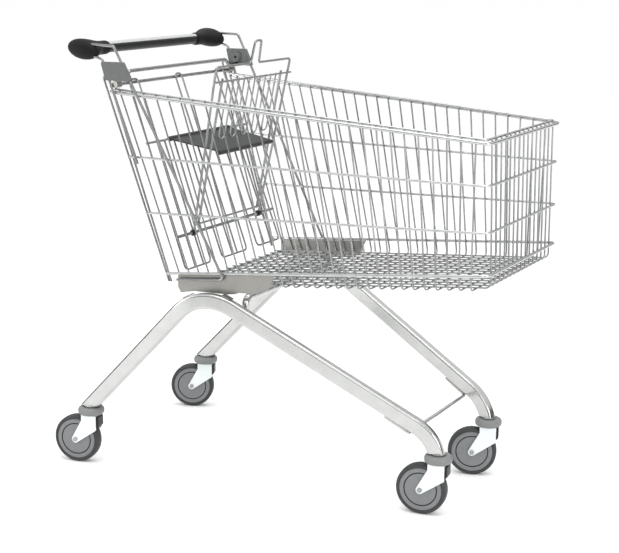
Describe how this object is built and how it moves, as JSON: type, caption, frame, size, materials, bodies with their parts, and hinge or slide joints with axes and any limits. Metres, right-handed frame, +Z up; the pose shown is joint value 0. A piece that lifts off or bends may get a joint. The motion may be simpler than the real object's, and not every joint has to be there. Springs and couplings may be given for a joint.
{
  "type": "shopping cart",
  "caption": "Wire basket trolley on bent tube legs with swivel castors, a push handle, a swinging rear gate and a folding child seat.",
  "frame": {"origin": "on the floor below the middle of the overall box", "axes": "+X to the nose, +Y to the cart's left, +Z up"},
  "size_m": [1.168, 0.6168, 1.0958],
  "materials": {
    "zinc_wire": "bright zinc plated",
    "zinc_tube": "satin zinc plated",
    "zinc_sheet": "zinc plated",
    "zinc_hardware": "zinc plated",
    "bracket_plastic": "moulded grey",
    "bumper_plastic": "moulded grey",
    "grip_plastic": "moulded black",
    "seat_plastic": "moulded black",
    "insert_plastic": "moulded black",
    "tyre_rubber": "dark grey rubber",
    "wheel_plastic": "moulded grey"
  },
  "bodies": {
    "frame": {"right_leg": "zinc_tube", "left_leg": "zinc_tube", "rear_cross_tube": "zinc_tube", "front_cross_bar": "zinc_tube", "right_carrier_plate": "zinc_sheet", "left_carrier_plate": "zinc_sheet", "basket_rim": "zinc_wire", "basket_rings": "zinc_wire", "basket_base_ring": "zinc_wire", "right_side_wires": "zinc_wire", "left_side_wires": "zinc_wire", "front_wires": "zinc_wire", "floor_cross_wires": "zinc_wire", "floor_long_wires": "zinc_wire", "rear_edge_wires": "zinc_wire", "right_handle_arms": "zinc_wire", "left_handle_arms": "zinc_wire", "right_bracket_plate": "bracket_plastic", "left_bracket_plate": "bracket_plastic", "upper_cross_rod": "zinc_wire", "handle_tube": "zinc_tube", "handle_sleeve": "grip_plastic", "right_handle_cap": "grip_plastic", "left_handle_cap": "grip_plastic", "gate_hinge_cups": "zinc_sheet", "castor_stems": "zinc_hardware", "rear_right_bumper_ring": "bumper_plastic", "rear_left_bumper_ring": "bumper_plastic", "front_right_bumper_ring": "bumper_plastic", "front_left_bumper_ring": "bumper_plastic"},
    "gate": {"gate_pivot_rod": "zinc_wire", "gate_wires": "zinc_wire", "seat_hinge_wire": "zinc_wire", "seat_back_pivot_rod": "zinc_wire"},
    "seat_back": {"seat_back_frame": "zinc_wire", "seat_back_bars": "zinc_wire", "seat_back_hairpins": "zinc_wire", "seat_back_knuckles": "seat_plastic"},
    "seat_flap": {"seat_flap": "seat_plastic"},
    "rear_right_swivel": {"rear_right_fork": "zinc_sheet", "rear_right_fork_insert": "insert_plastic", "rear_right_axle_bolt": "zinc_hardware"},
    "rear_right_wheel": {"rear_right_tyre": "tyre_rubber", "rear_right_wheel_core": "wheel_plastic"},
    "rear_left_swivel": {"rear_left_fork": "zinc_sheet", "rear_left_fork_insert": "insert_plastic", "rear_left_axle_bolt": "zinc_hardware"},
    "rear_left_wheel": {"rear_left_tyre": "tyre_rubber", "rear_left_wheel_core": "wheel_plastic"},
    "front_right_swivel": {"front_right_fork": "zinc_sheet", "front_right_fork_insert": "insert_plastic", "front_right_axle_bolt": "zinc_hardware"},
    "front_right_wheel": {"front_right_tyre": "tyre_rubber", "front_right_wheel_core": "wheel_plastic"},
    "front_left_swivel": {"front_left_fork": "zinc_sheet", "front_left_fork_insert": "insert_plastic", "front_left_axle_bolt": "zinc_hardware"},
    "front_left_wheel": {"front_left_tyre": "tyre_rubber", "front_left_wheel_core": "wheel_plastic"}
  },
  "joints": [
    {"name": "gate_swing", "type": "hinge", "parent": "frame", "child": "gate", "pos_m": [-0.39005, 0, 0.98661], "axis": [0, -1, 0], "range_deg": [0, 60]},
    {"name": "seat_back_fold", "type": "hinge", "parent": "gate", "child": "seat_back", "pos_m": [-0.23655, 0, 0.6163], "axis": [0, -1, 0], "range_deg": [0, 27]},
    {"name": "seat_flap_fold", "type": "hinge", "parent": "gate", "child": "seat_flap", "pos_m": [-0.31877, 0, 0.84448], "axis": [0, 1, 0], "range_deg": [0, 54]},
    {"name": "rear_right_swivel_turn", "type": "hinge", "parent": "frame", "child": "rear_right_swivel", "pos_m": [-0.48256, -0.2744, 0.1], "axis": [0, 0, 1], "continuous": true},
    {"name": "rear_right_wheel_spin", "type": "hinge", "parent": "rear_right_swivel", "child": "rear_right_wheel", "pos_m": [-0.52094, -0.28131, 0.0625], "axis": [0.1771, -0.9842, 0], "continuous": true},
    {"name": "rear_left_swivel_turn", "type": "hinge", "parent": "frame", "child": "rear_left_swivel", "pos_m": [-0.48256, 0.2744, 0.1], "axis": [0, 0, 1], "continuous": true},
    {"name": "rear_left_wheel_spin", "type": "hinge", "parent": "rear_left_swivel", "child": "rear_left_wheel", "pos_m": [-0.51867, 0.25966, 0.0625], "axis": [0.3778, -0.9259, 0], "continuous": true},
    {"name": "front_right_swivel_turn", "type": "hinge", "parent": "frame", "child": "front_right_swivel", "pos_m": [0.44744, -0.158, 0.1], "axis": [0, 0, 1], "continuous": true},
    {"name": "front_right_wheel_spin", "type": "hinge", "parent": "front_right_swivel", "child": "front_right_wheel", "pos_m": [0.40868, -0.16235, 0.0625], "axis": [0.1115, -0.9938, 0], "continuous": true},
    {"name": "front_left_swivel_turn", "type": "hinge", "parent": "frame", "child": "front_left_swivel", "pos_m": [0.44744, 0.158, 0.1], "axis": [0, 0, 1], "continuous": true},
    {"name": "front_left_wheel_spin", "type": "hinge", "parent": "front_left_swivel", "child": "front_left_wheel", "pos_m": [0.41065, 0.14505, 0.0625], "axis": [0.3322, -0.9432, 0], "continuous": true}
  ],
  "couplings": [
    {"joint": "seat_flap_fold", "follows": "seat_back_fold", "ratio": 2}
  ]
}
